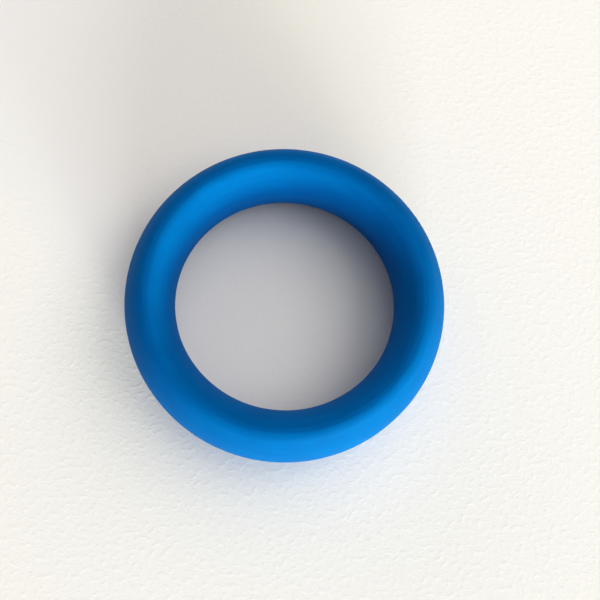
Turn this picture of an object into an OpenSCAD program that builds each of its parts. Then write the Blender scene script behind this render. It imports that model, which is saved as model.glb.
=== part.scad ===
// Friction ring for opening screw-back watch cases.
// One solid moulding of tacky silicone rubber: a plain round band with a tall oval section,
// blunt at the crest that is pressed on the case back and at the foot that it lies on.
// +Z is the ring's own axis, and the origin is the middle of its foot.
// All lengths are in millimetres.

/* [Ring] */
// Diameter over the outside of the band
outer_d = 65; // [54:1:76]
// Width of the band, from the hole to the outside
band_w = 10; // [7:0.5:12]
// Height of the ring when it lies flat
ring_h = 18.5; // [14:0.5:22]
// Colour of the rubber, as red, green and blue
ring_colour = [0.03, 0.47, 0.8]; // [0:0.01:1]

/* [Section] */
// Radius of the round crest and foot, as a share of half the band's width
crest_share = 0.55; // [0.45:0.05:0.8]
// Width of the flat that the soft crest and foot settle to under the ring's own weight
foot_flat_w = 0.8; // [0.4:0.1:1.2]
// Height of the straight land at the mould's parting plane, on the inside and the outside
parting_land_h = 2; // [1:0.5:3]

/* [Fineness] */
// Steps that each of the section's arcs is drawn in
arc_steps = 12; // [6:2:20]
// Segments in a full circle
$fn = 180; // [90:30:240]

/* [Hidden] */

half_w = band_w / 2;
half_h = ring_h / 2;
// Radius of the circle that the section is swept along
path_r = outer_d / 2 - half_w;

// Round crest: an arc whose two ends are the edges of its flat
crest_r = crest_share * half_w;
crest_centre_z = half_h - sqrt(crest_r ^ 2 - foot_flat_w ^ 2 / 4);

// Each side is one large arc. It ends at the land's edge, and runs into the crest's arc with no corner.
// Its radius is the root of the quadratic that those two conditions give.
gap = half_w ^ 2 + crest_centre_z ^ 2 - crest_r ^ 2 - parting_land_h ^ 2 / 4;
width_gain = half_w ^ 2 - crest_r ^ 2;
land_term = gap ^ 2 + (half_w * parting_land_h) ^ 2;
side_r = (gap * crest_r + sqrt((gap * crest_r) ^ 2 + width_gain * land_term)) / (2 * width_gain);
side_centre_x = half_w - sqrt(side_r ^ 2 - parting_land_h ^ 2 / 4);

// Slopes, from the horizontal, at which the arcs begin and end
land_angle = asin(parting_land_h / 2 / side_r);
joint_angle = atan2(crest_centre_z, -side_centre_x);
flat_angle = acos(foot_flat_w / 2 / crest_r);

// One quarter of the oval, from the land at the side up to the flat on the crest
function arc(x, z, r, from, to) =
    [for (i = [0 : arc_steps]) let (a = from + (to - from) * i / arc_steps) [x + r * cos(a), z + r * sin(a)]];
side_arc = arc(side_centre_x, 0, side_r, land_angle, joint_angle);
crest_arc = arc(0, crest_centre_z, crest_r, joint_angle, flat_angle);
quarter = concat(side_arc, [for (i = [1 : arc_steps]) crest_arc[i]]);

function reversed(points) = [for (i = [len(points) - 1 : -1 : 0]) points[i]];
function flipped(points, sx, sz) = [for (p = points) [sx * p[0], sz * p[1]]];
section = concat(
    quarter,
    reversed(flipped(quarter, -1, 1)),
    flipped(quarter, -1, -1),
    reversed(flipped(quarter, 1, -1))
);

module friction_ring() {
    color(ring_colour)
        rotate_extrude()
            translate([path_r, half_h])
                polygon(section);
}

friction_ring();
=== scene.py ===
"""Looks of the case opening friction ring: one matte blue silicone moulding on a pale painted surface.

Everything is in metres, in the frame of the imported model: +Z is the ring's axis, and the origin is the
middle of its foot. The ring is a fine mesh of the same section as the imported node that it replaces.
"""
import math

import bpy
from mathutils import Matrix, Vector


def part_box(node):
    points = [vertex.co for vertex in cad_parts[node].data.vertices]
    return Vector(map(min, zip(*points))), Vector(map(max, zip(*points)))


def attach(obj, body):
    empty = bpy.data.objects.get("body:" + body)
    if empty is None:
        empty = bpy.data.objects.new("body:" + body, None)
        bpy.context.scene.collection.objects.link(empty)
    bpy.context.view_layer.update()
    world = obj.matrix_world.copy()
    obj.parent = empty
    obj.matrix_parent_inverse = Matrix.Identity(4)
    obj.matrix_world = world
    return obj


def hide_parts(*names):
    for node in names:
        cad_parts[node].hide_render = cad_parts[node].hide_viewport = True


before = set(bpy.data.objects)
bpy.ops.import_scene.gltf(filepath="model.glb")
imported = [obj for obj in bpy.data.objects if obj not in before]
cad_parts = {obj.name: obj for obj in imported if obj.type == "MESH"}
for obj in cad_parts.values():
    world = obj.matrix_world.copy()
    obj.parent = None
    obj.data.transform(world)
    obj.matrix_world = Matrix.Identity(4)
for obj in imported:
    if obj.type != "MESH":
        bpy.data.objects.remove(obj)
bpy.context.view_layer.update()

NODE = "friction_ring"
MM = 0.001
RIGHT = Vector((1, 0, 0))
UP = Vector((0, 0, 1))

# ---------------------------------------------------------------- sizes, from the frame

low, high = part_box(NODE)
OUTER_R = (high.x - low.x) / 2
HOLE_R = min(math.hypot(v.co.x, v.co.y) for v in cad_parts[NODE].data.vertices)
HALF_W = (OUTER_R - HOLE_R) / 2
HALF_H = (high.z - low.z) / 2
PATH_R = HOLE_R + HALF_W

# The section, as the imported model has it
CREST_R = 0.55 * HALF_W
FLAT_W = 0.8 * MM
LAND_H = 2.0 * MM
# The mould's witness line round the middle of both lands
LINE_PROUD = 0.035 * MM
LINE_HALF_W = 0.11 * MM

STEPS_AROUND = 720
ARC_STEPS = 26
BEAD_STEPS = 6
EASE_STEPS = 5

# ---------------------------------------------------------------- linear colours, and distances in metres

SILICONE_DARK = (0.0001, 0.0775, 0.278, 1)
SILICONE_LIGHT = (0.0002, 0.0955, 0.328, 1)
PAINT_WHITE = (0.80, 0.80, 0.79, 1)
ROOM_LOW = (0.885, 0.850, 0.805, 1)
ROOM_HIGH = (0.255, 0.250, 0.250, 1)
# How many times longer than wide the streaks in the silicone are
STREAK_STRETCH = 7
FLOOR_R = 0.9
FLOOR_SIDES = 128
# Distances of the soft panels from the ring
WINDOW_AWAY = 5.4
WALL_AWAY = 1.8


# ---------------------------------------------------------------- the ring's mesh

def side_arc_radius():
    """Radius of the large arc that meets the land's edge and runs smoothly into the crest's arc.

    It also gives the height of the centre of the crest's arc, above mid height.
    """
    crest_z = HALF_H - math.sqrt(CREST_R ** 2 - FLAT_W ** 2 / 4)
    gap = HALF_W ** 2 + crest_z ** 2 - CREST_R ** 2 - LAND_H ** 2 / 4
    width_gain = HALF_W ** 2 - CREST_R ** 2
    land_term = gap ** 2 + (HALF_W * LAND_H) ** 2
    root = math.sqrt((gap * CREST_R) ** 2 + width_gain * land_term)
    return (gap * CREST_R + root) / (2 * width_gain), crest_z


def arc(x, z, radius, start, end):
    """Points from start to end, both included, on the circle round (x, z)."""
    angles = [start + (end - start) * i / ARC_STEPS for i in range(ARC_STEPS + 1)]
    return [(x + radius * math.cos(a), z + radius * math.sin(a)) for a in angles]


def land_profile():
    """Half of a land: a fine rounded witness line at the middle, then a rise back to the land's edge."""
    bead = [i / BEAD_STEPS for i in range(BEAD_STEPS + 1)]
    points = [(HALF_W - LINE_PROUD * (1 - math.cos(math.pi * t)) / 2, LINE_HALF_W * t) for t in bead]
    ease = [i / EASE_STEPS for i in range(1, EASE_STEPS + 1)]
    rest = LAND_H / 2 - LINE_HALF_W
    points += [(HALF_W - LINE_PROUD * (1 - t * t * (3 - 2 * t)), LINE_HALF_W + rest * t) for t in ease]
    return points


def section():
    """The closed oval as (x, z) from its own centre, anticlockwise, with no point twice."""
    side_r, crest_z = side_arc_radius()
    side_x = HALF_W - math.sqrt(side_r ** 2 - LAND_H ** 2 / 4)
    land_angle = math.asin(LAND_H / 2 / side_r)
    joint_angle = math.atan2(crest_z, -side_x)
    flat_angle = math.acos(FLAT_W / 2 / CREST_R)
    quarter = land_profile()
    quarter += arc(side_x, 0, side_r, land_angle, joint_angle)[1:]
    quarter += arc(0, crest_z, CREST_R, joint_angle, flat_angle)[1:]
    quarter += [(FLAT_W / 4, HALF_H)]
    half = quarter + [(0.0, HALF_H)] + [(-x, z) for x, z in reversed(quarter)]
    return half + [(x, -z) for x, z in reversed(half[1:-1])]


def make_ring(name):
    """Sweeps the section round the axis, foot down on z = 0."""
    outline = section()
    n = len(outline)
    verts = []
    for j in range(STEPS_AROUND):
        turn = 2 * math.pi * j / STEPS_AROUND
        c, s = math.cos(turn), math.sin(turn)
        verts += [((PATH_R + x) * c, (PATH_R + x) * s, z + HALF_H) for x, z in outline]
    faces = []
    for j in range(STEPS_AROUND):
        here, there = j * n, (j + 1) % STEPS_AROUND * n
        faces += [(here + i, there + i, there + (i + 1) % n, here + (i + 1) % n) for i in range(n)]
    mesh = bpy.data.meshes.new(name)
    mesh.from_pydata(verts, [], faces)
    mesh.shade_smooth()
    mesh.update()
    ring = bpy.data.objects.new(name, mesh)
    bpy.context.scene.collection.objects.link(ring)
    return ring


# ---------------------------------------------------------------- materials

def new_material(name):
    """A material, its node tree and its shader."""
    material = bpy.data.materials.new(name)
    material.use_nodes = True
    tree = material.node_tree
    return material, tree, tree.nodes["Principled BSDF"]


def add(tree, kind, **inputs):
    """A node with its unlinked inputs set. An input's underscores stand for spaces."""
    node = tree.nodes.new(kind)
    for key, value in inputs.items():
        node.inputs[key.replace("_", " ")].default_value = value
    return node


def vector_math(tree, operation, first, second=None):
    """A vector step's node. The second input may be an output to link, plain numbers or nothing."""
    node = tree.nodes.new("ShaderNodeVectorMath")
    node.operation = operation
    tree.links.new(first, node.inputs[0])
    if isinstance(second, tuple):
        node.inputs[1].default_value = second
    elif second is not None:
        tree.links.new(second, node.inputs[1])
    return node


def streaks_round_the_ring(tree, place, stretch, **settings):
    """Noise drawn out along the ring, stretch times as long as it is wide, with no seam.

    Going round the ring, the noise goes round a small circle. Its fourth coordinate is the
    distance from the axis.
    """
    flat = vector_math(tree, "MULTIPLY", place, (1, 1, 0)).outputs["Vector"]
    turned = vector_math(tree, "NORMALIZE", flat).outputs["Vector"]
    circle = vector_math(tree, "MULTIPLY", turned, (PATH_R / stretch, PATH_R / stretch, 0))
    height = vector_math(tree, "MULTIPLY", place, (0, 0, 1))
    rolled = vector_math(tree, "ADD", circle.outputs["Vector"], height.outputs["Vector"])
    out = vector_math(tree, "LENGTH", flat).outputs["Value"]
    noise = add(tree, "ShaderNodeTexNoise", **settings)
    noise.noise_dimensions = "4D"
    tree.links.new(rolled.outputs["Vector"], noise.inputs["Vector"])
    tree.links.new(out, noise.inputs["W"])
    return noise


def silicone_material():
    """Matte blue silicone: faint flow streaks round the ring and a fine grain from a blasted mould."""
    material, tree, shader = new_material("matte_blue_silicone")
    link = tree.links.new
    place = tree.nodes.new("ShaderNodeTexCoord").outputs["Object"]

    settings = {"Scale": 900.0, "Detail": 3.0, "Roughness": 0.6}
    streaks = streaks_round_the_ring(tree, place, STREAK_STRETCH, **settings)
    mottle = add(tree, "ShaderNodeTexNoise", Scale=130.0, Detail=4.0, Roughness=0.6)
    link(place, mottle.inputs["Vector"])
    blend = tree.nodes.new("ShaderNodeMath")
    blend.operation = "MULTIPLY"
    link(streaks.outputs["Fac"], blend.inputs[0])
    link(mottle.outputs["Fac"], blend.inputs[1])
    tone = add(tree, "ShaderNodeMapRange", From_Min=0.10, From_Max=0.40)
    link(blend.outputs["Value"], tone.inputs["Value"])

    colour = tree.nodes.new("ShaderNodeMix")
    colour.data_type = "RGBA"
    colour.inputs["A"].default_value = SILICONE_DARK
    colour.inputs["B"].default_value = SILICONE_LIGHT
    link(tone.outputs["Result"], colour.inputs["Factor"])
    link(colour.outputs["Result"], shader.inputs["Base Color"])
    rough = add(tree, "ShaderNodeMapRange", To_Min=0.56, To_Max=0.68)
    link(tone.outputs["Result"], rough.inputs["Value"])
    link(rough.outputs["Result"], shader.inputs["Roughness"])

    grain = add(tree, "ShaderNodeTexNoise", Scale=4200.0, Detail=2.0, Roughness=0.5)
    link(place, grain.inputs["Vector"])
    fine = add(tree, "ShaderNodeBump", Strength=0.6, Distance=0.03 * MM)
    link(grain.outputs["Fac"], fine.inputs["Height"])
    flow = add(tree, "ShaderNodeBump", Strength=0.6, Distance=0.016 * MM)
    link(streaks.outputs["Fac"], flow.inputs["Height"])
    link(fine.outputs["Normal"], flow.inputs["Normal"])
    link(flow.outputs["Normal"], shader.inputs["Normal"])

    shader.inputs["Specular IOR Level"].default_value = 0.03
    shader.inputs["Specular Tint"].default_value = (0.0, 1.0, 1.0, 1)
    return material


def floor_material():
    """Matt white paint with low raised dabs, as a roller leaves them, and a fine grit."""
    material, tree, shader = new_material("pale_paint")
    link = tree.links.new
    place = tree.nodes.new("ShaderNodeTexCoord").outputs["Object"]
    shader.inputs["Base Color"].default_value = PAINT_WHITE
    shader.inputs["Roughness"].default_value = 0.95
    shader.inputs["Specular IOR Level"].default_value = 0.05
    dabs = add(tree, "ShaderNodeTexNoise", Scale=850.0, Detail=3.0, Roughness=0.5)
    link(place, dabs.inputs["Vector"])
    raised = add(tree, "ShaderNodeMapRange", From_Min=0.46, From_Max=0.74)
    raised.interpolation_type = "SMOOTHSTEP"
    link(dabs.outputs["Fac"], raised.inputs["Value"])
    relief = add(tree, "ShaderNodeBump", Strength=0.9, Distance=0.02 * MM)
    link(raised.outputs["Result"], relief.inputs["Height"])
    grit = add(tree, "ShaderNodeTexNoise", Scale=2200.0, Detail=2.0, Roughness=0.5)
    link(place, grit.inputs["Vector"])
    fine = add(tree, "ShaderNodeBump", Strength=0.8, Distance=0.006 * MM)
    link(grit.outputs["Fac"], fine.inputs["Height"])
    link(relief.outputs["Normal"], fine.inputs["Normal"])
    link(fine.outputs["Normal"], shader.inputs["Normal"])
    return material


# ---------------------------------------------------------------- stage, lights and camera

def make_floor():
    """A round table top, so that its far edge looks level from every side."""
    turns = [2 * math.pi * i / FLOOR_SIDES for i in range(FLOOR_SIDES)]
    edge = [(FLOOR_R * math.cos(t), FLOOR_R * math.sin(t), 0) for t in turns]
    mesh = bpy.data.meshes.new("floor")
    mesh.from_pydata(edge, [], [tuple(range(FLOOR_SIDES))])
    floor = bpy.data.objects.new("floor", mesh)
    bpy.context.scene.collection.objects.link(floor)
    mesh.materials.append(floor_material())


def soft_panel(name, azimuth, elevation, distance, width, height, watts, colour):
    """A rectangular soft light facing the ring. Azimuth is anticlockwise from +X, in degrees."""
    data = bpy.data.lights.new(name, "AREA")
    data.shape = "RECTANGLE"
    data.size, data.size_y = width, height
    data.energy = watts
    data.color = colour
    light = bpy.data.objects.new(name, data)
    bpy.context.scene.collection.objects.link(light)
    a, e = math.radians(azimuth), math.radians(elevation)
    away = Vector((math.cos(a) * math.cos(e), math.sin(a) * math.cos(e), math.sin(e)))
    light.location = away * distance
    light.rotation_euler = away.to_track_quat("Z", "Y").to_euler()
    light.visible_camera = False


def make_world():
    """A pale room: bright near the horizon, and dimmer from 30 degrees up."""
    world = bpy.data.worlds.new("pale_room")
    bpy.context.scene.world = world
    world.use_nodes = True
    tree = world.node_tree
    direction = tree.nodes.new("ShaderNodeTexCoord").outputs["Generated"]
    parts = tree.nodes.new("ShaderNodeSeparateXYZ")
    tree.links.new(direction, parts.inputs["Vector"])
    height = add(tree, "ShaderNodeMapRange", From_Max=0.5)
    tree.links.new(parts.outputs["Z"], height.inputs["Value"])
    colour = tree.nodes.new("ShaderNodeMix")
    colour.data_type = "RGBA"
    colour.inputs["A"].default_value = ROOM_LOW
    colour.inputs["B"].default_value = ROOM_HIGH
    tree.links.new(height.outputs["Result"], colour.inputs["Factor"])
    tree.links.new(colour.outputs["Result"], tree.nodes["Background"].inputs["Color"])


def make_camera():
    """Looks down at the ring from 15 degrees off its axis, with +X to the picture's right."""
    tilt, turn = math.radians(14.95), math.radians(6.2)
    distance = 182.3 * MM
    side = Vector((-math.sin(turn), -math.cos(turn), 0))
    middle = UP * HALF_H
    eye = middle + distance * (math.sin(tilt) * side + math.cos(tilt) * UP)
    # The ring sits a little left of the picture's middle
    aim = middle + Vector((3.03 * MM, 0.31 * MM, 0))
    back = (eye - aim).normalized()
    right = (RIGHT - RIGHT.dot(back) * back).normalized()
    data = bpy.data.cameras.new("camera")
    data.lens = 53.4
    data.clip_start = 0.01
    camera = bpy.data.objects.new("camera", data)
    bpy.context.scene.collection.objects.link(camera)
    turned = Matrix((right, back.cross(right), back)).transposed().to_4x4()
    camera.matrix_world = Matrix.Translation(eye) @ turned
    bpy.context.scene.camera = camera


make_camera()
make_floor()
make_world()
# Daylight from a window low beyond the picture's lower edge, with a warm sunny part right of it
soft_panel("window", 284, 10, WINDOW_AWAY, 2.9, 1.8, 420, (0.91, 0.93, 1.0))
soft_panel("sunny_part", 302, 4, WINDOW_AWAY, 1.8, 0.7, 395, (0.95, 1.0, 0.54))
# The room's walls and ceiling
soft_panel("right", 0, 50, WALL_AWAY, 1.6, 0.97, 10.7, (1.0, 0.96, 0.92))
soft_panel("back_right", 40, 35, WALL_AWAY, 1.6, 0.97, 7.4, (1.0, 0.93, 0.85))
soft_panel("above", 330, 68, WALL_AWAY, 1.6, 1.17, 3.6, (0.97, 1.0, 0.98))
soft_panel("above_back", 60, 65, WALL_AWAY, 1.6, 1.17, 4.8, (1.0, 0.92, 0.82))
soft_panel("left_back", 120, 16, WALL_AWAY, 1.68, 0.7, 6.4, (1.0, 0.88, 0.76))

ring = make_ring("silicone_ring")
ring.data.materials.append(silicone_material())
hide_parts(NODE)
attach(ring, "root")

bpy.context.scene.view_settings.view_transform = "Standard"
